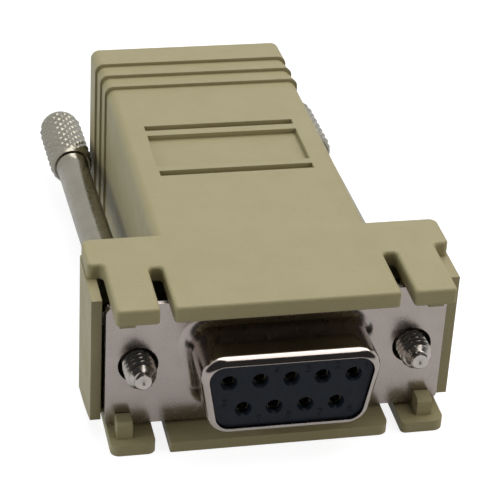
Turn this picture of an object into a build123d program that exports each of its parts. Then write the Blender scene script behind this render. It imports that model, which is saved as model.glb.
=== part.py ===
# Serial adapter: a nine-way D-sub socket at the front, an eight-way modular jack at the back,
# a snap-together hood of two shells between them and two long thumbscrews beside it.
# Millimetres. X runs across, +Y from the D-sub towards the jack, +Z up.
# The origin is on the flange's front face, midway between the screws and between the contact rows.
import os
from math import radians, tan

from build123d import *

os.makedirs("parts", exist_ok=True)

# Metal shells of the D-sub
flange_width = 30.81
flange_height = 12.55
flange_corner_radius = 0.9
sheet_thickness = 0.5
screw_spacing = 24.99
screw_hole_radius = 1.8
d_width = 16.8
d_height = 7.90
d_side_angle = 10.0
d_depth = 6.1
d_corner_radius = 2.1
d_wall = 0.42
lip_width = 0.68
lip_round = 0.95
d_root_radius = 1.0
emboss_corner_radius = 1.5
rear_flange_setback = 0.3

# Insulators and socket contacts
contact_pitch = 2.77
row_spacing = 2.84
upper_row_count = 5
lower_row_count = 4
moulding_clearance = 0.05
face_recess = 0.35
insulator_flange_width = 18.9
insulator_flange_height = 10.3
insulator_corner_radius = 1.2
front_insulator_flange = 1.6
rear_insulator_flange = 1.0
rear_block_width = 16.8
rear_block_height = 8.2
rear_block_length = 3.9
funnel_radius = 0.75
entry_radius = 0.58
funnel_depth = 0.3
entry_depth = 0.7
contact_radius = 0.8
contact_bore_radius = 0.52
contact_bore_depth = 5.9
shoulder_radius = 1.0
shoulder_half_length = 0.5
cavity_clearance = 0.03
crimp_reach = 2.5
crimp_bore_radius = 0.45
crimp_bore_depth = 1.6

# Thumbscrews: they hang loose in their holes, tails down and pushed out by the hood's flanks
screw_droop = 3.65
screw_splay = 0.7
thread_radius = 1.42
thread_back = -0.35
relief_radius = 1.1
relief_width = 0.8
dog_radius = 0.8
dog_length = 0.45
tip_chamfer = 0.8
tip_reach = 3.0
shaft_radius = 1.62
collar_radius = 2.4
collar_thickness = 1.0
collar_gap = 0.3
neck_radius = 1.8
neck_length = 0.7
head_start = 41.1
head_length = 10.3
head_radius = 2.25
head_chamfer = 0.35
head_end_round = 0.5
driver_slot_width = 0.8
driver_slot_depth = 1.1

# Hood: wide section round the D-sub
cover_gap = 0.195
cover_thickness = 1.5
cover_setback = 0.1
cover_front = 3.4
wide_rear = 8.8
cover_corner_radius = 0.8
cover_edge_round = 0.3
notch_inset = 0.355
notch_rear = 4.4
notch_corner_radius = 0.5
tongue_slot_inner = 10.0
tongue_slot_width = 1.25
tongue_slot_rear = 3.4
slot_corner_radius = 0.45
tongue_corner_radius = 0.4
side_wall_gap = 0.245
side_wall_thickness = 0.95
side_wall_front = 0.75
side_wall_front_depth = 6.1
side_wall_middle = 4.4
side_wall_middle_depth = 7.08
side_wall_rear_depth = 7.64
side_wall_round = 0.6
side_foot_length = 6.2
side_strip_rise = 0.4
rear_wall_thickness = 1.2
base_depth = 7.72
base_thickness = 1.06
base_margin = 0.07
base_shift = 0.17
base_front = 2.8
base_slot_inner = 10.05
base_slot_width = 1.25
base_slot_rear = 3.4
base_corner_radii = (0.8, 0.8, 0.15, 0.9, 0.45, 1.0)
post_inner = 13.1
post_width = 1.4
post_depth = 1.65
post_height = 1.65
post_gap = 0.05
post_chamfer = 0.3
flange_rib_inner = 11.5
flange_rib_width = 3.0
flange_rib_thickness = 1.0
flange_rib_reach = 1.9
screw_passage_radius = 2.35

# Hood: narrow section and its stepped grip
narrow_half_width = 9.95
narrow_edge_radius = 0.9
narrow_wall = 1.2
narrow_top_wall = 1.4
split_height = -1.0
lap_height = 0.8
lap_clearance = 0.05
lap_margin = 0.5
lap_root = 0.5
grip_first = 37.7
grip_second = 39.66
grip_third = 41.67
rear_end = 45.38
grip_rise = 0.32
grip_drop = 0.12
grip_flare = 0.22
grip_count = 3
rear_edge_round = 0.45
label_half_width = 7.45
label_depth = 0.5
label_front_groove = 19.41
label_groove_width = 0.95
label_panel_front = 21.28
label_panel_rear = 27.45
label_rear_groove = 28.5
boss_radius = 1.3
boss_x = 7.5
boss_front = 12.5
boss_spacing = 12.0
pin_radius = 0.8
pin_length = 1.5
pin_clearance = 0.05

# Modular jack, its contact carrier and spring contacts
jack_half_width = 7.75
jack_bottom = -5.4
jack_top = 6.4
jack_front = 29.0
jack_edge_chamfer = 0.4
jack_collar_proud = 0.75
jack_collar_front = 42.6
jack_collar_thickness = 1.4
jack_fit = 0.1
jack_rib_thickness = 1.2
plug_half_width = 5.85
plug_bottom = -3.6
plug_top = 3.2
plug_depth = 12.6
latch_half_width = 3.1
latch_depth = 1.1
latch_key_half_width = 1.65
latch_key_depth = 0.9
latch_key_length = 5.0
comb_half_width = 4.5
comb_height = 1.6
comb_front_margin = 1.4
carrier_half_width = 6.2
carrier_bottom = -1.6
carrier_front = 25.4
carrier_pocket = 2.6
carrier_tongue = 0.8
jack_pitch = 1.02
jack_ways = 8
wire_radius = 0.23
wire_bend_radius = 0.45
wire_fold_margin = 2.0
wire_free_length = 9.2
wire_free_drop = 2.9
wire_seat = 2.0

# Leads inside the hood
lead_radius = 0.6
lead_straight = 3.2
lead_bend_share = 0.45
lead_row_upper = 3.2
lead_row_lower = 0.9

# Cutting shapes run past the faces they cut, and added shapes reach into the body they join
overrun = 1.0
overlap = 0.1
slack = 0.01

# Worked out from the values above
screw_x = screw_spacing / 2
side_wall_inner = flange_width / 2 + side_wall_gap
side_wall_half_width = side_wall_inner + side_wall_thickness
cover_half_width = side_wall_half_width - cover_setback
notch_half_width = flange_width / 2 - notch_inset
base_half_width = flange_width / 2 - base_margin
cover_underside = flange_height / 2 + cover_gap
top_height = cover_underside + cover_thickness
base_top = base_thickness - base_depth
rear_wall_inner = wide_rear - rear_wall_thickness
narrow_inner = narrow_half_width - narrow_wall
narrow_bottom = grip_count * grip_drop - base_depth
insulator_face = face_recess - d_depth
contact_front = insulator_face + entry_depth + moulding_clearance
insulator_joint = sheet_thickness + front_insulator_flange
rear_insulator_end = insulator_joint + rear_insulator_flange + rear_block_length
contact_rear = rear_insulator_end + crimp_reach
jack_rear = rear_end - moulding_clearance
comb_rear = jack_rear - comb_front_margin
lap_rear = jack_collar_front - 2 * jack_rib_thickness
wire_height = plug_top + comb_height - carrier_tongue - wire_radius


def block(x, y, z):
    """Box between a low and a high limit on each axis."""
    centre = Pos((x[0] + x[1]) / 2, (y[0] + y[1]) / 2, (z[0] + z[1]) / 2)
    return centre * Box(x[1] - x[0], y[1] - y[0], z[1] - z[0])


def both_sides(shape):
    """The shape and its mirror image across the middle plane."""
    return shape + mirror(shape, about=Plane.YZ)


def prism(outline, front, back):
    """An outline drawn as X and Z, extruded between two places along Y."""
    plane = Plane(origin=(0, back, 0), x_dir=(1, 0, 0), z_dir=(0, -1, 0))
    return extrude(plane * outline, amount=back - front)


def slab(outline, low, high):
    """An outline drawn as X and Y, extruded between two heights."""
    return extrude(Plane.XY.offset(low) * outline, amount=high - low)


def rod(radius, front, back, x=0.0, z=0.0):
    """Round bar along Y."""
    return Pos(x, 0, z) * prism(Circle(radius), front, back)


def column(radius, low, high, x, y):
    """Upright round post."""
    return Pos(x, y, (low + high) / 2) * Cylinder(radius, high - low)


def turned(profile):
    """Solid of revolution about Y from a list of (radius, y) points."""
    face = make_face(Polyline(*profile, close=True))
    return revolve(face, axis=Axis.Y)


def near_plane(shapes, axis, place):
    """Edges or corners whose middle lies on a plane across one axis."""
    return shapes.filter_by_position(axis, place - slack, place + slack)


def d_outline(inset=0.0):
    """D of the mating shell, wide side up, drawn in by an inset all round."""
    half_top = d_width / 2
    half_bottom = half_top - d_height * tan(radians(d_side_angle))
    corners = [(-half_top, d_height / 2), (half_top, d_height / 2),
               (half_bottom, -d_height / 2), (-half_bottom, -d_height / 2)]
    face = make_face(Polyline(*corners, close=True))
    face = fillet(face.vertices(), d_corner_radius)
    if inset:
        face = offset(face, amount=-inset)
    return face


def flange_sheet(front, back):
    """Flange blank with its two screw holes."""
    sheet = prism(RectangleRounded(flange_width, flange_height, flange_corner_radius), front, back)
    hole = rod(screw_hole_radius, front - overrun, back + overrun, x=screw_x)
    return sheet - both_sides(hole)


def front_metal_shell():
    """Flange with the drawn D, its rim rolled over and turned in."""
    drawn = prism(d_outline(), -d_depth, sheet_thickness)
    drawn = fillet(near_plane(drawn.edges(), Axis.Y, -d_depth), lip_round)
    shell = flange_sheet(0, sheet_thickness) + drawn
    root = near_plane(shell.edges(), Axis.Y, 0)
    root = root.filter_by(lambda edge: abs(edge.center().X) < d_width / 2 + overlap)
    root = root.filter_by(lambda edge: abs(edge.center().Z) < d_height / 2 + overlap)
    shell = fillet(root, d_root_radius)
    inside = prism(d_outline(d_wall), d_wall - d_depth, sheet_thickness + overrun)
    inside = fillet(near_plane(inside.edges(), Axis.Y, d_wall - d_depth), lip_round - d_wall)
    mouth = prism(d_outline(lip_width), -d_depth - overrun, 0)
    return shell - inside - mouth


def rear_metal_shell():
    """Back flange with an embossed pan that clamps both insulators."""
    pan_width = insulator_flange_width + 2 * moulding_clearance
    pan_height = insulator_flange_height + 2 * moulding_clearance
    pan_back = insulator_joint + rear_insulator_flange + moulding_clearance
    outside = RectangleRounded(pan_width + 2 * sheet_thickness, pan_height + 2 * sheet_thickness,
                               emboss_corner_radius)
    inside = RectangleRounded(pan_width, pan_height, insulator_corner_radius)
    window = Rectangle(rear_block_width + 2 * moulding_clearance,
                       rear_block_height + 2 * moulding_clearance)
    shell = flange_sheet(sheet_thickness, 2 * sheet_thickness)
    shell -= block((-flange_width, flange_width), (0, 3 * sheet_thickness),
                   (flange_height / 2 - rear_flange_setback, flange_height))
    shell += prism(outside, sheet_thickness, pan_back + sheet_thickness)
    shell -= prism(inside, 0, pan_back)
    return shell - prism(window, 0, pan_back + 2 * sheet_thickness)


def contact_places():
    """Centres of the contacts: upper row left to right, then lower row."""
    upper = [((i - (upper_row_count - 1) / 2) * contact_pitch, row_spacing / 2)
             for i in range(upper_row_count)]
    lower = [((i - (lower_row_count - 1) / 2) * contact_pitch, -row_spacing / 2)
             for i in range(lower_row_count)]
    return upper + lower


def front_cavity():
    """Tool for one contact cavity of the front insulator: funnel, entry, bore and shoulder seat."""
    bore = contact_radius + cavity_clearance
    seat = shoulder_radius + cavity_clearance
    seat_front = insulator_joint - shoulder_half_length
    profile = [(0, insulator_face - overrun), (funnel_radius, insulator_face - overrun),
               (funnel_radius, insulator_face), (entry_radius, insulator_face + funnel_depth),
               (entry_radius, insulator_face + entry_depth), (bore, insulator_face + entry_depth),
               (bore, seat_front), (seat, seat_front),
               (seat, insulator_joint + overrun), (0, insulator_joint + overrun)]
    return turned(profile)


def front_insulator():
    """Dark moulding that fills the D and shows the nine funnels."""
    lip_back = d_wall - d_depth + moulding_clearance
    boss = prism(d_outline(lip_width + moulding_clearance), insulator_face, 0)
    body = prism(d_outline(d_wall + moulding_clearance), lip_back, sheet_thickness)
    body = chamfer(near_plane(body.edges(), Axis.Y, lip_back), lip_round - d_wall)
    flange = RectangleRounded(insulator_flange_width, insulator_flange_height,
                              insulator_corner_radius)
    moulding = boss + body + prism(flange, sheet_thickness, insulator_joint)
    for x, z in contact_places():
        moulding -= Pos(x, 0, z) * front_cavity()
    return moulding


def rear_insulator():
    """Back moulding that locks the contacts in."""
    flange = RectangleRounded(insulator_flange_width, insulator_flange_height,
                              insulator_corner_radius)
    block_outline = Rectangle(rear_block_width, rear_block_height)
    moulding = prism(flange, insulator_joint, insulator_joint + rear_insulator_flange)
    moulding += prism(block_outline, insulator_joint, rear_insulator_end)
    for x, z in contact_places():
        seat_back = insulator_joint + shoulder_half_length
        moulding -= rod(shoulder_radius + cavity_clearance, insulator_joint - overrun, seat_back, x, z)
        moulding -= rod(contact_radius + cavity_clearance, insulator_joint, contact_rear, x, z)
    return moulding


def socket_contact(x, z):
    """Machined socket: sprung barrel in front, shoulder, crimp barrel behind."""
    profile = [(0, contact_front), (contact_radius, contact_front),
               (contact_radius, insulator_joint - shoulder_half_length),
               (shoulder_radius, insulator_joint - shoulder_half_length),
               (shoulder_radius, insulator_joint + shoulder_half_length),
               (contact_radius, insulator_joint + shoulder_half_length),
               (contact_radius, contact_rear), (0, contact_rear)]
    contact = turned(profile)
    contact -= rod(contact_bore_radius, contact_front - overrun, contact_front + contact_bore_depth)
    contact -= rod(crimp_bore_radius, contact_rear - crimp_bore_depth, contact_rear + overrun)
    return Pos(x, 0, z) * contact


def screw_place(side):
    """Where a thumbscrew hangs: pivoting at the flange, tail drooping and splayed outwards."""
    return Pos(side * screw_x, 0, 0) * Rot(0, 0, -side * screw_splay) * Rot(-screw_droop, 0, 0)


def thumbscrew(side):
    """One turned piece: threaded tip, relief groove, collar, long shank and slotted head."""
    dog_back = dog_length - tip_reach
    collar_back = rear_wall_inner - collar_gap
    collar_front = collar_back - collar_thickness
    relief_back = thread_back + relief_width
    head_end = head_start + head_length
    profile = [(0, -tip_reach), (dog_radius, -tip_reach), (dog_radius, dog_back),
               (thread_radius, dog_back + tip_chamfer), (thread_radius, thread_back),
               (relief_radius, thread_back), (relief_radius, relief_back),
               (shaft_radius, relief_back), (shaft_radius, collar_front),
               (collar_radius, collar_front), (collar_radius, collar_back),
               (shaft_radius, collar_back), (shaft_radius, head_start - neck_length),
               (neck_radius, head_start - neck_length), (neck_radius, head_start),
               (head_radius - head_chamfer, head_start), (head_radius, head_start + head_chamfer),
               (head_radius, head_end), (0, head_end)]
    screw = turned(profile)
    screw = fillet(near_plane(screw.edges(), Axis.Y, head_end), head_end_round)
    half_slot = driver_slot_width / 2
    screw -= block((-head_radius, head_radius), (head_end - driver_slot_depth, head_end + overrun),
                   (-half_slot, half_slot))
    return screw_place(side) * screw


def tongue_plate_outline(front, back, half_width, slot_inner, slot_width, slot_back):
    """Plate with three tongues: two slots run back from its front edge to rounded ends."""
    centre = Pos(0, (back - front) / 2) * Rectangle(2 * half_width, front + back)
    slot = Pos(slot_inner + slot_width / 2, (slot_back - front) / 2)
    slot *= Rectangle(slot_width, front + slot_back)
    outline = centre - slot - mirror(slot, about=Plane.YZ)
    return fillet(near_plane(outline.vertices(), Axis.Y, slot_back), slot_corner_radius)


def cover_plate():
    """Top of the wide section: three tongues that overhang the flange, notched outer corners."""
    outline = tongue_plate_outline(cover_front, wide_rear, cover_half_width, tongue_slot_inner,
                                   tongue_slot_width, tongue_slot_rear)
    notch_width = cover_half_width - notch_half_width + overrun
    notch_length = cover_front + notch_rear + overrun
    notch = Pos(notch_half_width + notch_width / 2, notch_rear - notch_length / 2)
    notch *= Rectangle(notch_width, notch_length)
    outline = outline - notch - mirror(notch, about=Plane.YZ)
    outline = fillet(near_plane(outline.vertices(), Axis.Y, notch_rear), notch_corner_radius)
    outline = fillet(near_plane(outline.vertices(), Axis.Y, wide_rear), cover_corner_radius)
    outline = fillet(near_plane(outline.vertices(), Axis.Y, -cover_front), tongue_corner_radius)
    plate = slab(outline, cover_underside, top_height)
    return fillet(near_plane(plate.edges(), Axis.Z, top_height), cover_edge_round)


def grip_steps():
    """Start, outward flare, rise and drop of the main tube and of each grip step."""
    starts = [rear_wall_inner, grip_first, grip_second, grip_third]
    return [(start, i * grip_flare, i * grip_rise, i * grip_drop) for i, start in enumerate(starts)]


def tube_half(start, flare, bottom, top, edge_y):
    """One stretch of the narrow section from its start to the rear end, long edges rounded."""
    half_width = narrow_half_width + flare
    outline = Pos(0, (bottom + top) / 2) * Rectangle(2 * half_width, top - bottom)
    corners = near_plane(outline.vertices(), Axis.Y, edge_y)
    return prism(fillet(corners, narrow_edge_radius), start, rear_end)


def jack_opening():
    """Room for the modular jack: its nose through the rear wall, its collar just inside."""
    fit_half = jack_half_width + jack_fit
    nose = block((-fit_half, fit_half), (jack_front, rear_end + overrun),
                 (jack_bottom - jack_fit, jack_top + jack_fit))
    collar_half = fit_half + jack_collar_proud
    collar_low = jack_bottom - jack_fit - jack_collar_proud
    collar_high = jack_top + jack_fit + jack_collar_proud
    collar_back = jack_collar_front + jack_collar_thickness + jack_fit
    collar = block((-collar_half, collar_half), (jack_collar_front - jack_fit, collar_back),
                   (collar_low, collar_high))
    return nose + collar


def jack_ribs(low, high):
    """Ribs across the narrow section that stop the jack's collar from sliding forwards."""
    back = jack_collar_front - jack_fit
    half_width = narrow_inner + overlap
    return block((-half_width, half_width), (back - jack_rib_thickness, back), (low, high))


def boss_places():
    """The four bosses that carry the locating pins."""
    return [(side * boss_x, boss_front + i * boss_spacing) for side in (-1, 1) for i in (0, 1)]


def screw_window(low, clearance):
    """Outline over one screw passage: a slot from the screw's height up to the cover."""
    radius = screw_passage_radius - clearance
    height = cover_underside - low
    return Pos(screw_x, low + height / 2) * Rectangle(2 * radius, height)


def screw_passage():
    """Round way through the rear wall that the thumbscrew's collar can't leave."""
    return rod(screw_passage_radius, rear_wall_inner - overrun, wide_rear + overrun, x=screw_x)


def flange_rib(low, high):
    """Rib behind the flange, between the screw and the side wall."""
    front = 2 * sheet_thickness + moulding_clearance
    return block((flange_rib_inner, flange_rib_inner + flange_rib_width),
                 (front, front + flange_rib_thickness), (low, high))


def post(low, high):
    """Post just in front of the flange."""
    return block((post_inner, post_inner + post_width),
                 (-post_gap - post_depth, -post_gap), (low, high))


def lap_strip(growth, boss_gap):
    """Lip of the lower wall that stands inside the upper one, broken at the bosses."""
    lap = block((narrow_inner, narrow_half_width - narrow_wall / 2 + growth),
                (wide_rear + lap_margin - growth, lap_rear + growth),
                (split_height - lap_root, split_height + lap_height + growth))
    for x, y in boss_places():
        lap -= column(boss_radius + boss_gap, split_height - overrun,
                      split_height + lap_height + overrun, x, y)
    return lap


def upper_shell():
    """Cover plate, upper half of the narrow section, label panel, ribs and pin sockets."""
    shell = cover_plate()
    for start, flare, rise, _ in grip_steps():
        shell += tube_half(start, flare, split_height, top_height + rise, top_height + rise)
    rear_edges = near_plane(shell.edges(), Axis.Y, rear_end)
    rear_edges = rear_edges.filter_by(lambda edge: edge.center().Z > split_height + overlap)
    shell = fillet(rear_edges, rear_edge_round)
    inner_top = top_height - narrow_top_wall
    shell -= block((-narrow_inner, narrow_inner),
                   (rear_wall_inner - overrun, rear_end - narrow_wall),
                   (split_height - overrun, inner_top))
    shell += jack_ribs(split_height, inner_top + overlap)
    shell -= jack_opening()
    shell -= both_sides(lap_strip(lap_clearance, 0))
    for x, y in boss_places():
        shell += column(boss_radius, split_height, inner_top + overlap, x, y)
        shell -= column(pin_radius + pin_clearance, split_height - overrun,
                        split_height + pin_length + pin_clearance, x, y)
    label = [(label_front_groove, label_front_groove + label_groove_width),
             (label_panel_front, label_panel_rear),
             (label_rear_groove, label_rear_groove + label_groove_width)]
    for front, back in label:
        shell -= block((-label_half_width, label_half_width), (front, back),
                       (top_height - label_depth, top_height + overrun))
    details = flange_rib(cover_underside - flange_rib_reach, cover_underside + overlap)
    details += post(cover_underside - post_height + post_chamfer, cover_underside + overlap)
    filler = prism(screw_window(0, moulding_clearance), rear_wall_inner, wide_rear)
    filler -= screw_passage()
    return shell + both_sides(details + filler)


def base_plate():
    """Floor of the wide section: three tongues that reach out under the flange."""
    outline = tongue_plate_outline(base_front, wide_rear, base_half_width, base_slot_inner,
                                   base_slot_width, base_slot_rear)
    foot_inner = base_slot_inner + base_slot_width
    corners = (-base_half_width, -foot_inner, -base_slot_inner,
               base_slot_inner, foot_inner, base_half_width)
    for x, radius in zip(corners, base_corner_radii):
        nearest = outline.vertices().sort_by_distance(Vector(x, -base_front, 0))
        outline = fillet(nearest[0:1], radius)
    return Pos(base_shift, 0, 0) * slab(outline, -base_depth, base_top)


def side_panel(inner, front, top):
    """Slice of the side wall's outline from an inner plane outwards, its lower edge curved."""
    low_edge = ThreePointArc((side_wall_front, -side_wall_front_depth),
                             (side_wall_middle, -side_wall_middle_depth),
                             (wide_rear, -side_wall_rear_depth))
    rest = Polyline(low_edge @ 1, (wide_rear, cover_underside),
                    (side_wall_front, cover_underside), low_edge @ 0)
    panel = extrude(Plane.YZ.offset(inner) * make_face(low_edge + rest),
                    amount=side_wall_half_width - inner)
    return panel & block((inner - overrun, side_wall_half_width + overrun), (front, wide_rear),
                         (-base_depth, top))


def side_wall():
    """Right-hand side wall, with the strip that joins it to the floor behind the foot."""
    beside_tube = narrow_half_width + moulding_clearance
    floor_edge = base_half_width - base_shift
    wall = side_panel(side_wall_inner, side_wall_front, cover_underside)
    wall += side_panel(floor_edge - overlap, wide_rear - side_foot_length, base_top + side_strip_rise)
    wall += side_panel(beside_tube, rear_wall_inner, cover_underside)
    wall += block((beside_tube, floor_edge), (rear_wall_inner, wide_rear),
                  (-base_depth, cover_underside))
    corner = wall.edges().filter_by(Axis.Z).sort_by(Axis.X)[-2:].sort_by(Axis.Y)[-1:]
    wall = fillet(corner, side_wall_round)
    wall -= prism(screw_window(0, 0), rear_wall_inner - overrun, wide_rear + overrun)
    return wall - screw_passage()


def lower_shell():
    """Base plate, side walls, lower half of the narrow section, posts, ribs and pins."""
    shell = base_plate() + both_sides(side_wall())
    for start, flare, _, drop in grip_steps():
        shell += tube_half(start, flare, narrow_bottom - drop, split_height, narrow_bottom - drop)
    rear_edges = near_plane(shell.edges(), Axis.Y, rear_end)
    rear_edges = rear_edges.filter_by(lambda edge: edge.center().Z < split_height - overlap)
    shell = fillet(rear_edges, rear_edge_round)
    inner_bottom = narrow_bottom + narrow_wall
    shell -= block((-narrow_inner, narrow_inner),
                   (rear_wall_inner - overrun, rear_end - narrow_wall),
                   (inner_bottom, split_height + overrun))
    shell += jack_ribs(inner_bottom - overlap, split_height)
    shell += both_sides(lap_strip(0, lap_clearance))
    shell -= jack_opening()
    for x, y in boss_places():
        shell += column(boss_radius, inner_bottom - overlap, split_height, x, y)
        shell += column(pin_radius, split_height - overlap, split_height + pin_length, x, y)
    details = flange_rib(base_top - overlap, base_top + flange_rib_reach)
    foot_post = post(base_top - overlap, base_top + post_height)
    top_front = near_plane(foot_post.edges(), Axis.Z, base_top + post_height)
    foot_post = chamfer(top_front.sort_by(Axis.Y)[0:1], post_chamfer)
    return shell + both_sides(details + foot_post)


def jack_housing():
    """Dark modular jack with its collar, stepped plug opening and slot for the contact comb."""
    body = block((-jack_half_width, jack_half_width), (jack_front, jack_rear),
                 (jack_bottom, jack_top))
    body = chamfer(body.edges().filter_by(Axis.Y), jack_edge_chamfer)
    collar_half = jack_half_width + jack_collar_proud
    body += block((-collar_half, collar_half),
                  (jack_collar_front, jack_collar_front + jack_collar_thickness),
                  (jack_bottom - jack_collar_proud, jack_top + jack_collar_proud))
    plug_front = jack_rear - plug_depth
    body -= block((-plug_half_width, plug_half_width), (plug_front, jack_rear + overrun),
                  (plug_bottom, plug_top))
    body -= block((-latch_half_width, latch_half_width), (plug_front, jack_rear + overrun),
                  (plug_bottom - latch_depth, plug_bottom + overrun))
    body -= block((-latch_key_half_width, latch_key_half_width),
                  (jack_rear - latch_key_length, jack_rear + overrun),
                  (plug_bottom - latch_depth - latch_key_depth, plug_bottom + overrun))
    body -= block((-comb_half_width, comb_half_width),
                  (jack_front - overrun, comb_rear),
                  (plug_top, plug_top + comb_height))
    body -= block((-comb_half_width, comb_half_width), (plug_front, comb_rear),
                  (plug_top - overrun, plug_top + comb_height))
    pocket_half = carrier_half_width + moulding_clearance
    body -= block((-pocket_half, pocket_half), (jack_front - overrun, jack_front + carrier_pocket),
                  (carrier_bottom - moulding_clearance, plug_top + comb_height))
    return body


def contact_carrier():
    """Insert behind the jack: its block seats the leads, its tongue backs the spring contacts."""
    top = plug_top + comb_height
    back = jack_front + carrier_pocket - moulding_clearance
    carrier = block((-carrier_half_width, carrier_half_width), (carrier_front, back),
                    (carrier_bottom, top - moulding_clearance))
    tongue_half = comb_half_width - moulding_clearance
    carrier += block((-tongue_half, tongue_half),
                     (back - overlap, comb_rear - moulding_clearance),
                     (top - carrier_tongue, top - moulding_clearance))
    for x in jack_places():
        carrier -= rod(wire_radius + cavity_clearance / 2, back - wire_seat, back + overlap,
                       x, wire_height)
    return carrier


def jack_places():
    """Positions of the spring contacts across the jack."""
    return [(i - (jack_ways - 1) / 2) * jack_pitch for i in range(jack_ways)]


def jack_contact(x):
    """Spring wire: along the tongue, folded at the mouth and back down into the plug opening."""
    start = jack_front + carrier_pocket - moulding_clearance - wire_seat
    fold = comb_rear - moulding_clearance + wire_fold_margin
    route = FilletPolyline((x, start, wire_height), (x, fold, wire_height),
                           (x, fold - wire_free_length - wire_fold_margin,
                            wire_height - wire_free_drop), radius=wire_bend_radius)
    return sweep(Plane(origin=route @ 0, z_dir=route % 0) * Circle(wire_radius), path=route)


def lead_routes():
    """End points of the eight leads; the last lower contact is left unconnected."""
    upper = contact_places()[:upper_row_count]
    lower = contact_places()[upper_row_count:-1]
    starts = sorted(upper + lower)
    rows = (lead_row_upper, lead_row_lower)
    ends = [(x, rows[i % 2]) for i, x in enumerate(jack_places())]
    return zip(starts, ends)


def lead_wire(start, end):
    """Insulated lead from a crimp barrel to the back of the contact carrier."""
    points = [(start[0], contact_rear, start[1]),
              (start[0], contact_rear + lead_straight, start[1]),
              (end[0], carrier_front - lead_straight, end[1]), (end[0], carrier_front, end[1])]
    low, high = Vector(*points[1]), Vector(*points[2])
    turn = (high - low).get_angle(Vector(0, 1, 0))
    bend = lead_bend_share * lead_straight / tan(radians(turn / 2))
    route = FilletPolyline(*points, radius=bend)
    return sweep(Plane(origin=route @ 0, z_dir=route % 0) * Circle(lead_radius), path=route)


def save(name, shape):
    """Write one sub-part under its node name."""
    export_step(shape, f"parts/{name}.step")


save("upper_shell", upper_shell())
save("lower_shell", lower_shell())
save("dsub_front_shell", front_metal_shell())
save("dsub_rear_shell", rear_metal_shell())
save("front_insulator", front_insulator())
save("rear_insulator", rear_insulator())
save("left_thumbscrew", thumbscrew(-1))
save("right_thumbscrew", thumbscrew(1))
save("jack_housing", jack_housing())
save("contact_carrier", contact_carrier())
for number, (x, z) in enumerate(contact_places(), start=1):
    save(f"socket_contact_{number}", socket_contact(x, z))
for number, x in enumerate(jack_places(), start=1):
    save(f"jack_contact_{number}", jack_contact(x))
for number, (start, end) in enumerate(lead_routes(), start=1):
    save(f"lead_wire_{number}", lead_wire(start, end))
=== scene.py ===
# Looks of the serial adapter: beige snap-together hood, nickel D-sub, knurled thumbscrews.
from math import ceil, cos, pi, radians, sin

import bpy
from mathutils import Matrix, Vector


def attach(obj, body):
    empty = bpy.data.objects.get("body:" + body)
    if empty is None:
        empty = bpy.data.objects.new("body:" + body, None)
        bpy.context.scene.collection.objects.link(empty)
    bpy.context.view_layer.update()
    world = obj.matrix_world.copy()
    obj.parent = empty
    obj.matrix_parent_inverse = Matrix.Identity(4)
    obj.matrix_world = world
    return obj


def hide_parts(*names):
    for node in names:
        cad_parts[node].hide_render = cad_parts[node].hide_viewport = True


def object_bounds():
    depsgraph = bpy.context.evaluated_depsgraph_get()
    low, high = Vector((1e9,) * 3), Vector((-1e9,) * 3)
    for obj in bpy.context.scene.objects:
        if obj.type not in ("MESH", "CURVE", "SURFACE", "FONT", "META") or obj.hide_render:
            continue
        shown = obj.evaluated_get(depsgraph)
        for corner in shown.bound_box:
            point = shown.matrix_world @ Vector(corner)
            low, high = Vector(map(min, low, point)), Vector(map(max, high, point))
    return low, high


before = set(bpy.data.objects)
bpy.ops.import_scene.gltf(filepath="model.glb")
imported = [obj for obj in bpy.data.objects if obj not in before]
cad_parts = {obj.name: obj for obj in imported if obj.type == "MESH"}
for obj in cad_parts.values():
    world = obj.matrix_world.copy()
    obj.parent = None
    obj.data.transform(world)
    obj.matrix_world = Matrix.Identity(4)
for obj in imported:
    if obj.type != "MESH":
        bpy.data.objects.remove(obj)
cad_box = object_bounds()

mm = 0.001

# Camera, fitted to the D-sub's standard sizes in the photograph
camera_place = Vector((-37.415, -143.787, 100.521)) * mm
camera_right = Vector((0.97801, -0.20222, 0.05104))
camera_up = Vector((0.06211, 0.51599, 0.85434))
focal_pixels = 2008.19
frame_pixels = 500
sensor_width = 36.0

# Detail of the shading nodes: bevel rounding, and the occlusion that paints shade in crevices
bevel_samples = 6
crevice_shade_samples = 8

# Thumbscrews, along their own axis from the flange's face
screw_spacing = 24.99 * mm
screw_droop = 3.65
screw_splay = 0.7
tip_reach = 3.0 * mm
dog_radius = 0.8 * mm
dog_length = 0.45 * mm
tip_chamfer = 0.8 * mm
dimple_radius = 0.2 * mm
dimple_depth = 0.1 * mm
screw_edge = 0.12 * mm
thread_radius = 1.42 * mm
thread_pitch = 0.635 * mm
thread_depth = 0.36 * mm
thread_steepness = 1.25
thread_root = 0.05
thread_end = 1.4 * mm
relief_radius = 1.1 * mm
relief_width = 2.0 * mm
shaft_radius = 1.62 * mm
collar_radius = 3.05 * mm
collar_front = 6.3 * mm
collar_back = 7.25 * mm
neck_radius = 1.7 * mm
neck_length = 0.4 * mm
head_start = 41.1 * mm
head_length = 10.3 * mm
head_radius = 2.25 * mm
head_chamfer = 0.35 * mm
head_round = 0.5 * mm
knurl_depth = 0.15 * mm
knurl_pitch = 1.33 * mm
knurl_land = 0.3
knurl_fade = 0.5 * mm
knurls_round = 14
driver_slot_width = 0.8 * mm
driver_slot_depth = 1.1 * mm
lathe_steps = 144
rings_per_thread = 12
rings_per_knurl = 10
shank_rings = 24
round_rings = 5
crease_angle = 40

# Right wall of the grip, which closes in towards the rear in the photograph
wall_inside = 8.75 * mm
wall_height = 6.6 * mm
slim_start = 36.8 * mm
slim_end = 42.0 * mm
slim_share = 0.62
slim_slide = 1.1 * mm

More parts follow.
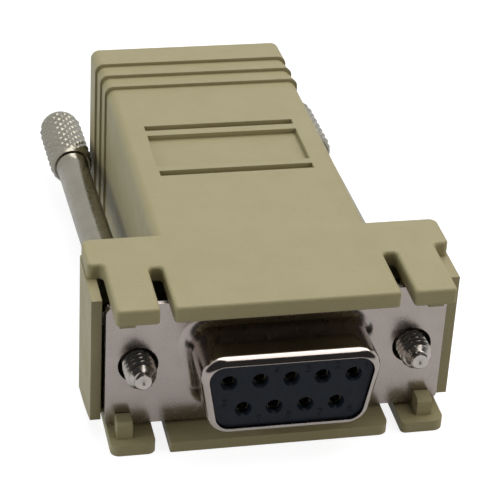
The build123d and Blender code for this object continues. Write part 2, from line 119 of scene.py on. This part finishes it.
# Insulator's face, with the place in mm of each pin number on it
insulator_face = -5.75 * mm
digit_size = 1.05 * mm
digit_relief = 0.05 * mm
digits = {"5": (-5.81, -0.72), "4": (-1.37, 2.3), "3": (1.45, 2.25), "2": (4.07, 2.38), "1": (6.65, 2.1),
          "9": (-2.7, -2.6), "8": (-0.03, -2.45), "7": (2.77, -2.45), "6": (5.47, -2.3)}

# Places along Y between which the flat flange gives way to the drawn D
drawn_front = -0.4 * mm
drawn_deep = -1.2 * mm

# Lamps: place, size and power
key_lamp = ((0.18, 0.19, 0.60), 0.78, 4.65)
left_lamp = ((-0.66, -0.06, 0.20), 0.4, 2.3)
front_lamp = ((0.55, -0.42, 0.24), 0.4, 1.3)
lamp_aim = Vector((0, 0.02, 0))
cool_white = (0.86, 0.93, 1.0)
warm_white = (1.0, 0.96, 0.9)

# World and floor: levels as light, as seen and as mirrored
white_level = 1.0
world_level = 0.18
mirror_level = 0.8
dark_level = 0.05
dark_bands = {"Y": (0.15, -0.05), "Z": (-0.02, 0.1)}
floor_half = 1.5
floor_drop = 0.02 * mm
floor_grey = 0.35
floor_glow = 0.85
floor_mirror_glow = 0.4


def set_camera():
    """Camera where the photograph was taken."""
    data = bpy.data.cameras.new("camera")
    data.sensor_width = sensor_width
    data.lens = sensor_width * focal_pixels / frame_pixels
    data.clip_start = 0.01
    data.clip_end = 10.0
    camera = bpy.data.objects.new("camera", data)
    back = camera_right.cross(camera_up)
    turn = Matrix((camera_right, camera_up, back)).transposed()
    camera.matrix_world = Matrix.Translation(camera_place) @ turn.to_4x4()
    bpy.context.scene.collection.objects.link(camera)
    bpy.context.scene.camera = camera


class Surface:
    """A Principled material whose colour, roughness and relief come from noise in the object's space."""

    def __init__(self, name, colour, roughness, metallic=0.0, specular=0.5):
        self.material = bpy.data.materials.new(name)
        self.material.use_nodes = True
        self.tree = self.material.node_tree
        self.shader = self.tree.nodes["Principled BSDF"]
        self.colour = (*colour, 1.0)
        self.shader.inputs["Base Color"].default_value = self.colour
        self.shader.inputs["Roughness"].default_value = roughness
        self.shader.inputs["Metallic"].default_value = metallic
        self.shader.inputs["Specular IOR Level"].default_value = specular
        self.place = self.tree.nodes.new("ShaderNodeTexCoord").outputs["Object"]
        self.normal = None

    def link(self, source, target):
        self.tree.links.new(source, target)

    def stretched(self, stretch):
        """Object coordinates scaled along each axis."""
        mapping = self.tree.nodes.new("ShaderNodeMapping")
        mapping.inputs["Scale"].default_value = stretch
        self.link(self.place, mapping.inputs["Vector"])
        return mapping.outputs["Vector"]

    def noise(self, size, detail=3.0, stretch=(1, 1, 1), rough=0.55):
        """Noise with blotches of about the given size in metres."""
        node = self.tree.nodes.new("ShaderNodeTexNoise")
        node.inputs["Scale"].default_value = 1 / size
        node.inputs["Detail"].default_value = detail
        node.inputs["Roughness"].default_value = rough
        self.link(self.stretched(stretch), node.inputs["Vector"])
        return node.outputs["Fac"]

    def remap(self, value, low, high, out_low, out_high):
        """A value's range stretched to another, clamped."""
        node = self.tree.nodes.new("ShaderNodeMapRange")
        limits = {"From Min": low, "From Max": high, "To Min": out_low, "To Max": out_high}
        for name, limit in limits.items():
            node.inputs[name].default_value = limit
        self.link(value, node.inputs["Value"])
        return node.outputs["Result"]

    def tint(self, mask, colour):
        """Blend a second colour over what the base colour is so far."""
        node = self.tree.nodes.new("ShaderNodeMix")
        node.data_type = "RGBA"
        base = self.shader.inputs["Base Color"]
        if base.is_linked:
            self.link(base.links[0].from_socket, node.inputs[6])
        else:
            node.inputs[6].default_value = self.colour
        node.inputs[7].default_value = (*colour, 1.0)
        self.link(mask, node.inputs[0])
        self.link(node.outputs[2], base)

    def passing(self, axis, start, end):
        """Mask that rises from zero to one between two places along an axis."""
        split = self.tree.nodes.new("ShaderNodeSeparateXYZ")
        self.link(self.place, split.inputs[0])
        return self.remap(split.outputs[axis], start, end, 0.0, 1.0)

    def paint_crevice_shade(self, reach, open_share, colour):
        """Painted shade: a darker colour where the surface around a point closes in on it, as in a
        groove.
        """
        node = self.tree.nodes.new("ShaderNodeAmbientOcclusion")
        node.samples = crevice_shade_samples
        node.only_local = True
        node.inputs["Distance"].default_value = reach
        self.tint(self.remap(node.outputs["AO"], open_share, 1.0, 1.0, 0.0), colour)

    def rough_between(self, mask, low, high):
        """Let the roughness follow a mask."""
        self.link(self.remap(mask, 0.3, 0.7, low, high), self.shader.inputs["Roughness"])

    def soften(self, radius):
        """Round the edges in shading, as a mould does."""
        node = self.tree.nodes.new("ShaderNodeBevel")
        node.samples = bevel_samples
        node.inputs["Radius"].default_value = radius
        self.normal = node.outputs["Normal"]
        self.link(self.normal, self.shader.inputs["Normal"])

    def relief(self, height, depth, strength=1.0):
        """Bump by a height in metres, on top of the relief so far."""
        node = self.tree.nodes.new("ShaderNodeBump")
        node.inputs["Strength"].default_value = strength
        node.inputs["Distance"].default_value = depth
        self.link(height, node.inputs["Height"])
        if self.normal:
            self.link(self.normal, node.inputs["Normal"])
        self.normal = node.outputs["Normal"]
        self.link(self.normal, self.shader.inputs["Normal"])


def beige_plastic():
    """Moulded ABS: faint clouding, fine spark-eroded grain, softened edges, painted shade in its grooves
    and steps.
    """
    surface = Surface("beige_abs", (0.315, 0.272, 0.143), 0.46, specular=0.38)
    clouds = surface.noise(7 * mm)
    surface.tint(surface.remap(clouds, 0.35, 0.7, 0.0, 0.6), (0.336, 0.292, 0.158))
    specks = surface.noise(0.35 * mm, detail=2.0)
    surface.tint(surface.remap(specks, 0.62, 0.8, 0.0, 0.5), (0.255, 0.214, 0.114))
    surface.rough_between(surface.noise(2.5 * mm), 0.42, 0.54)
    # Painted shade: darker beige where grooves, steps and gaps close in
    surface.paint_crevice_shade(0.3 * mm, 0.3, (0.22, 0.18, 0.08))
    surface.soften(0.13 * mm)
    surface.relief(surface.noise(0.22 * mm, detail=4.0), 0.035 * mm, 0.9)
    surface.relief(surface.noise(1.2 * mm), 0.02 * mm, 0.35)
    return surface.material


def nickel_sheet():
    """Plated sheet: the flange mottled and faintly pink, the drawn part polished by the tool."""
    surface = Surface("nickel_sheet", (0.41, 0.36, 0.33), 0.25, metallic=1.0)
    surface.tint(surface.remap(surface.noise(1.6 * mm), 0.35, 0.7, 0.0, 0.7), (0.46, 0.405, 0.37))
    hairs = surface.noise(0.25 * mm, stretch=(0.12, 1, 1.6), detail=4.0)
    surface.tint(surface.remap(hairs, 0.66, 0.76, 0.0, 0.5), (0.31, 0.27, 0.245))
    drawn = surface.passing("Y", drawn_front, drawn_deep)
    polished = surface.remap(drawn, 0.0, 1.0, 0.25, 0.12)
    grain = surface.remap(surface.noise(0.8 * mm), 0.3, 0.7, 0.2, 0.3)
    surface.link(grain, polished.node.inputs["To Min"])
    surface.link(polished, surface.shader.inputs["Roughness"])
    surface.soften(0.08 * mm)
    flat = surface.remap(drawn, 0.0, 1.0, 0.5, 0.1)
    surface.relief(surface.noise(0.3 * mm, detail=3.0), 0.008 * mm, 0.5)
    surface.link(flat, surface.normal.node.inputs["Strength"])
    return surface.material


def nickel_turned():
    """Turned and plated screw: brighter, with fine rings left by the tool, a painted highlight towards
    the tip and painted shade in the thread's grooves.
    """
    surface = Surface("nickel_turned", (0.33, 0.31, 0.25), 0.2, metallic=1.0)
    surface.tint(surface.remap(surface.noise(2.2 * mm), 0.35, 0.7, 0.0, 0.6), (0.27, 0.25, 0.2))
    # Painted highlight: the colour grows lighter towards the tip, fully so from the flange's face forward
    surface.tint(surface.passing("Y", relief_width, 0.0), (0.52, 0.48, 0.44))
    # Painted shade: darker in the thread's grooves and the knurl's valleys
    surface.paint_crevice_shade(0.3 * mm, 0.45, (0.13, 0.125, 0.09))
    surface.rough_between(surface.noise(0.7 * mm), 0.17, 0.3)
    rings = surface.noise(0.2 * mm, stretch=(0.05, 1, 0.05))
    surface.relief(rings, 0.004 * mm, 0.4)
    return surface.material


def dark_plastic(name, colour, roughness, grain):
    """Dark moulding with a fine grain."""
    surface = Surface(name, colour, roughness, specular=0.2)
    lighter = tuple(channel * 1.5 for channel in colour)
    surface.tint(surface.remap(surface.noise(0.6 * mm), 0.4, 0.7, 0.0, 0.8), lighter)
    surface.rough_between(surface.noise(1.0 * mm), roughness - 0.06, roughness + 0.08)
    surface.soften(0.06 * mm)
    surface.relief(surface.noise(grain, detail=4.0), 0.01 * mm, 0.7)
    return surface.material


def gold():
    """Flash gold over nickel, thinner and greyer in places."""
    surface = Surface("flash_gold", (0.62, 0.55, 0.40), 0.2, metallic=1.0)
    surface.tint(surface.remap(surface.noise(0.9 * mm), 0.45, 0.75, 0.0, 0.6), (0.42, 0.38, 0.3))
    surface.rough_between(surface.noise(0.5 * mm), 0.2, 0.34)
    return surface.material


def lead_insulation(name, colour):
    """Slightly glossy PVC with faint drawing lines along the lead."""
    surface = Surface(name, colour, 0.36)
    darker = tuple(channel * 0.75 for channel in colour)
    surface.tint(surface.remap(surface.noise(1.4 * mm), 0.4, 0.7, 0.0, 0.7), darker)
    surface.relief(surface.noise(0.3 * mm, stretch=(1, 0.1, 1)), 0.01 * mm, 0.4)
    return surface.material


def dress(node_names, material):
    """Give CAD nodes one material in place of their plain one."""
    for name in node_names:
        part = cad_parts[name]
        part.data.materials.clear()
        part.data.materials.append(material)


def numbered(stem, count):
    """Names of a numbered family of nodes."""
    return [f"{stem}_{number}" for number in range(1, count + 1)]


def dress_cad():
    """Materials of the CAD nodes, with the pin numbers in the insulator's."""
    dress(["upper_shell", "lower_shell"], beige_plastic())
    dress(["dsub_front_shell", "dsub_rear_shell"], nickel_sheet())
    insulator = dark_plastic("blue_black_polyester", (0.007, 0.010, 0.016), 0.36, 0.14 * mm)
    dress(["front_insulator", "rear_insulator"], insulator)
    pin_numbers(insulator)
    jack = dark_plastic("black_jack", (0.016, 0.016, 0.017), 0.42, 0.2 * mm)
    dress(["jack_housing", "contact_carrier"], jack)
    dress(numbered("socket_contact", 9) + numbered("jack_contact", 8), gold())
    colours = {"blue": (0.03, 0.09, 0.40), "orange": (0.75, 0.24, 0.03), "black": (0.02, 0.02, 0.02),
               "red": (0.50, 0.02, 0.02), "green": (0.02, 0.25, 0.07), "yellow": (0.75, 0.58, 0.04),
               "brown": (0.17, 0.07, 0.03), "white": (0.75, 0.74, 0.70)}
    for lead, (name, colour) in zip(numbered("lead_wire", 8), colours.items()):
        dress([lead], lead_insulation(f"lead_{name}", colour))


def slim_grip():
    """Copies of the hood's shells whose right wall is as narrow along the grip as in the photograph."""
    for name in ("upper_shell", "lower_shell"):
        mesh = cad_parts[name].data.copy()
        for vertex in mesh.vertices:
            share = clamp((vertex.co.y - slim_start) / (slim_end - slim_start), 0.0, 1.0)
            if vertex.co.x > wall_inside and abs(vertex.co.z) > wall_height:
                vertex.co.x -= slim_slide * share
            elif vertex.co.x > wall_inside:
                vertex.co.x = wall_inside + (vertex.co.x - wall_inside) * (1 - slim_share * share)
        piece = bpy.data.objects.new(f"{name}_slimmed", mesh)
        bpy.context.scene.collection.objects.link(piece)
        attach(piece, "root")
        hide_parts(name)


def pin_numbers(material):
    """The nine raised pin numbers beside the holes, in a plain generic face."""
    for digit, (x, z) in digits.items():
        curve = bpy.data.curves.new(f"digit_{digit}", "FONT")
        curve.body = digit
        curve.size = digit_size
        curve.extrude = digit_relief
        curve.align_x = "CENTER"
        curve.align_y = "CENTER"
        text = bpy.data.objects.new("text", curve)
        bpy.context.scene.collection.objects.link(text)
        bpy.context.view_layer.update()
        graph = bpy.context.evaluated_depsgraph_get()
        mesh = bpy.data.meshes.new_from_object(text.evaluated_get(graph))
        bpy.data.objects.remove(text)
        place = Matrix.Translation((x * mm, insulator_face, z * mm))
        mesh.transform(place @ Matrix.Rotation(radians(90), 4, "X"))
        piece = bpy.data.objects.new(f"pin_number_{digit}", mesh)
        bpy.context.scene.collection.objects.link(piece)
        piece.data.materials.clear()
        piece.data.materials.append(material)
        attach(piece, "root")


def clamp(value, low, high):
    return max(low, min(high, value))


def thread_radius_at(angle, y):
    """Radius of the thread's flank, flattened at the crest and turned down to the tip's cone."""
    share = (y / thread_pitch - angle / (2 * pi)) % 1.0
    height = clamp(thread_steepness * (1 - abs(2 * share - 1)) - thread_root, 0.0, 1.0)
    cone = clamp((y + tip_reach - dog_length) / tip_chamfer, 0.0, 1.0)
    outline = dog_radius + cone * (thread_radius - dog_radius)
    return min(outline, thread_radius - thread_depth * (1 - height))


def knurled_radius_at(angle, y):
    """Radius of the head's diamond knurl, which rises from a smooth rim at its two ends."""
    turn = angle * knurls_round / (2 * pi)
    rise = (y - head_start) / knurl_pitch
    groove = max(abs(2 * ((turn + rise) % 1.0) - 1), abs(2 * ((turn - rise) % 1.0) - 1))
    from_end = min(y - head_start - head_chamfer, head_start + head_length - head_round - y)
    fade = clamp(from_end / knurl_fade, 0.0, 1.0)
    crest = 1 - clamp((groove - knurl_land) / (1 - knurl_land), 0.0, 1.0)
    return head_radius - knurl_depth * (1 - fade * crest)


def plain(radius):
    """A round section."""
    return lambda angle, y: radius


def screw_sections():
    """Sections of the screw from tip to head: pairs of place along the axis and radius rule."""
    head_end = head_start + head_length
    dog_back = dog_length - tip_reach
    edge = screw_edge
    sections = [(dimple_depth - tip_reach, plain(dimple_radius / 3)), (-tip_reach, plain(dimple_radius)),
                (-tip_reach, plain(dog_radius - edge)), (edge - tip_reach, plain(dog_radius)),
                (dog_back, plain(dog_radius))]
    thread_rings = ceil((thread_end - dog_back) / (thread_pitch / rings_per_thread))
    for ring in range(thread_rings + 1):
        y = dog_back + (thread_end - dog_back) * ring / thread_rings
        sections.append((y, thread_radius_at))
    relief_end = thread_end + relief_width
    sections += [(thread_end, plain(relief_radius)), (relief_end, plain(relief_radius)),
                 (relief_end, plain(shaft_radius)),
                 (collar_front, plain(shaft_radius)), (collar_front, plain(collar_radius - edge)),
                 (collar_front + edge, plain(collar_radius)), (collar_back - edge, plain(collar_radius)),
                 (collar_back, plain(collar_radius - edge)), (collar_back, plain(shaft_radius))]
    neck_front = head_start - neck_length
    for ring in range(1, shank_rings):
        y = collar_back + (neck_front - collar_back) * ring / shank_rings
        sections.append((y, plain(shaft_radius)))
    sections += [(neck_front, plain(shaft_radius)), (neck_front + edge, plain(neck_radius)),
                 (head_start, plain(neck_radius)), (head_start, plain(head_radius - head_chamfer))]
    knurl_start = head_start + head_chamfer
    knurl_end = head_end - head_round
    knurl_rings = ceil((knurl_end - knurl_start) / (knurl_pitch / rings_per_knurl))
    for ring in range(knurl_rings + 1):
        sections.append((knurl_start + (knurl_end - knurl_start) * ring / knurl_rings, knurled_radius_at))
    for step in range(1, round_rings + 1):
        turn = radians(90 * step / round_rings)
        radius = head_radius - knurl_depth - head_round * (1 - cos(turn))
        sections.append((knurl_end + head_round * sin(turn), plain(radius)))
    return sections


def lathe(name, sections):
    """Closed mesh through round or ribbed sections along Y."""
    vertices = []
    for y, rule in sections:
        for step in range(lathe_steps):
            angle = 2 * pi * step / lathe_steps
            radius = rule(angle, y)
            vertices.append((radius * sin(angle), y, radius * cos(angle)))
    faces = []
    for ring in range(len(sections) - 1):
        for step in range(lathe_steps):
            following = (step + 1) % lathe_steps
            a = ring * lathe_steps
            b = a + lathe_steps
            faces.append((a + step, b + step, b + following, a + following))
    last = (len(sections) - 1) * lathe_steps
    faces.append(tuple(range(lathe_steps)))
    faces.append(tuple(reversed(range(last, last + lathe_steps))))
    mesh = bpy.data.meshes.new(name)
    mesh.from_pydata(vertices, [], faces)
    mesh.update()
    piece = bpy.data.objects.new(name, mesh)
    bpy.context.scene.collection.objects.link(piece)
    return piece


def box_piece(name, low, high):
    """Plain box between two corners, used as a cutting tool."""
    corners = [(x, y, z) for x in (low[0], high[0]) for y in (low[1], high[1]) for z in (low[2], high[2])]
    faces = [(0, 1, 3, 2), (4, 6, 7, 5), (0, 4, 5, 1), (2, 3, 7, 6), (0, 2, 6, 4), (1, 5, 7, 3)]
    mesh = bpy.data.meshes.new(name)
    mesh.from_pydata(corners, [], faces)
    piece = bpy.data.objects.new(name, mesh)
    bpy.context.scene.collection.objects.link(piece)
    return piece


def cut(piece, tool):
    """Take a tool's shape out of a piece for good."""
    modifier = piece.modifiers.new("cut", "BOOLEAN")
    modifier.object = tool
    modifier.solver = "EXACT"
    graph = bpy.context.evaluated_depsgraph_get()
    mesh = bpy.data.meshes.new_from_object(piece.evaluated_get(graph))
    piece.modifiers.clear()
    piece.data = mesh
    bpy.data.objects.remove(tool)


def thumbscrews():
    """Both screws with real threads, knurled heads and driver slots, hung as in the CAD."""
    material = nickel_turned()
    half = driver_slot_width / 2
    head_end = head_start + head_length
    for name, side in (("left", -1), ("right", 1)):
        screw = lathe(f"{name}_screw_detailed", screw_sections())
        slot = box_piece("slot", (-2 * head_radius, head_end - driver_slot_depth, -half),
                         (2 * head_radius, head_end + 1 * mm, half))
        cut(screw, slot)
        place = Matrix.Translation((side * screw_spacing / 2, 0, 0))
        splay = Matrix.Rotation(radians(-side * screw_splay), 4, "Z")
        droop = Matrix.Rotation(radians(-screw_droop), 4, "X")
        screw.data.transform(place @ splay @ droop)
        screw.data.shade_smooth()
        screw.data.set_sharp_from_angle(angle=radians(crease_angle))
        screw.data.materials.append(material)
        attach(screw, f"{name}_screw")
        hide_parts(f"{name}_thumbscrew")


def light(name, place, size, power, colour=(1, 1, 1), mirrored=True):
    """Soft box aimed at the middle of the adapter, seen or not in reflections."""
    data = bpy.data.lights.new(name, "AREA")
    data.size = size
    data.energy = power
    data.color = colour
    lamp = bpy.data.objects.new(name, data)
    aim = lamp_aim - Vector(place)
    lamp.matrix_world = Matrix.Translation(place) @ aim.to_track_quat("-Z", "Y").to_matrix().to_4x4()
    lamp.visible_glossy = mirrored
    bpy.context.scene.collection.objects.link(lamp)


def level_by_ray(tree, lighting, seen, mirrored):
    """Strength that differs between light, what the camera or glass shows, and reflections."""
    path = tree.nodes.new("ShaderNodeLightPath")
    levels = {"Is Camera Ray": seen, "Is Transmission Ray": seen, "Is Glossy Ray": mirrored}
    total = None
    for name, level in levels.items():
        node = tree.nodes.new("ShaderNodeMapRange")
        node.inputs["To Max"].default_value = level - lighting
        tree.links.new(path.outputs[name], node.inputs["Value"])
        total = join(tree, "ADD", total, node.outputs["Result"])
    node = tree.nodes.new("ShaderNodeMath")
    node.inputs[1].default_value = lighting
    tree.links.new(total, node.inputs[0])
    return node.outputs[0]


def dark_front(tree):
    """Level that a reflection of the world has: dim in front and above, full elsewhere."""
    direction = tree.nodes.new("ShaderNodeTexCoord").outputs["Generated"]
    split = tree.nodes.new("ShaderNodeSeparateXYZ")
    tree.links.new(direction, split.inputs[0])
    level = None
    for axis, (start, end) in dark_bands.items():
        node = tree.nodes.new("ShaderNodeMapRange")
        node.inputs["From Min"].default_value = start
        node.inputs["From Max"].default_value = end
        tree.links.new(split.outputs[axis], node.inputs["Value"])
        level = join(tree, "MULTIPLY", level, node.outputs["Result"])
    shade = tree.nodes.new("ShaderNodeMapRange")
    shade.inputs["To Min"].default_value = 1.0
    shade.inputs["To Max"].default_value = dark_level
    tree.links.new(level, shade.inputs["Value"])
    return shade.outputs["Result"]


def join(tree, operation, first, second):
    """Result of a sum or product of two values, or the second alone."""
    if first is None:
        return second
    node = tree.nodes.new("ShaderNodeMath")
    node.operation = operation
    tree.links.new(first, node.inputs[0])
    tree.links.new(second, node.inputs[1])
    return node.outputs[0]


def set_world():
    """White behind everything that is seen, and a plain dimmer level as light."""
    world = bpy.data.worlds.new("studio")
    world.use_nodes = True
    bpy.context.scene.world = world
    tree = world.node_tree
    background = tree.nodes["Background"]
    background.inputs["Color"].default_value = (1, 1, 1, 1)
    level = level_by_ray(tree, world_level, white_level, mirror_level)
    path = tree.nodes.new("ShaderNodeLightPath")
    mirrored = tree.nodes.new("ShaderNodeMix")
    mirrored.inputs[2].default_value = 1.0
    tree.links.new(path.outputs["Is Glossy Ray"], mirrored.inputs[0])
    tree.links.new(dark_front(tree), mirrored.inputs[3])
    strength = join(tree, "MULTIPLY", level, mirrored.outputs[0])
    tree.links.new(strength, background.inputs["Strength"])


def set_floor():
    """White table that keeps the object's shadow and shows white where it is bare."""
    level = cad_box[0].z - floor_drop
    corners = [(-floor_half, -floor_half, level), (floor_half, -floor_half, level),
               (floor_half, floor_half, level), (-floor_half, floor_half, level)]
    mesh = bpy.data.meshes.new("floor")
    mesh.from_pydata(corners, [], [(0, 1, 2, 3)])
    floor = bpy.data.objects.new("floor", mesh)
    bpy.context.scene.collection.objects.link(floor)
    material = bpy.data.materials.new("white_table")
    material.use_nodes = True
    tree = material.node_tree
    shader = tree.nodes["Principled BSDF"]
    shader.inputs["Base Color"].default_value = (floor_grey, floor_grey, floor_grey, 1)
    shader.inputs["Roughness"].default_value = 0.9
    shader.inputs["Specular IOR Level"].default_value = 0.0
    shader.inputs["Emission Color"].default_value = (1, 1, 1, 1)
    glow = level_by_ray(tree, 0.0, floor_glow, floor_mirror_glow)
    tree.links.new(glow, shader.inputs["Emission Strength"])
    mesh.materials.append(material)


set_camera()
dress_cad()
slim_grip()
thumbscrews()
light("key", *key_lamp)
light("left", *left_lamp, cool_white, False)
light("front", *front_lamp, warm_white, False)
set_world()
set_floor()
bpy.context.scene.view_settings.view_transform = "Standard"
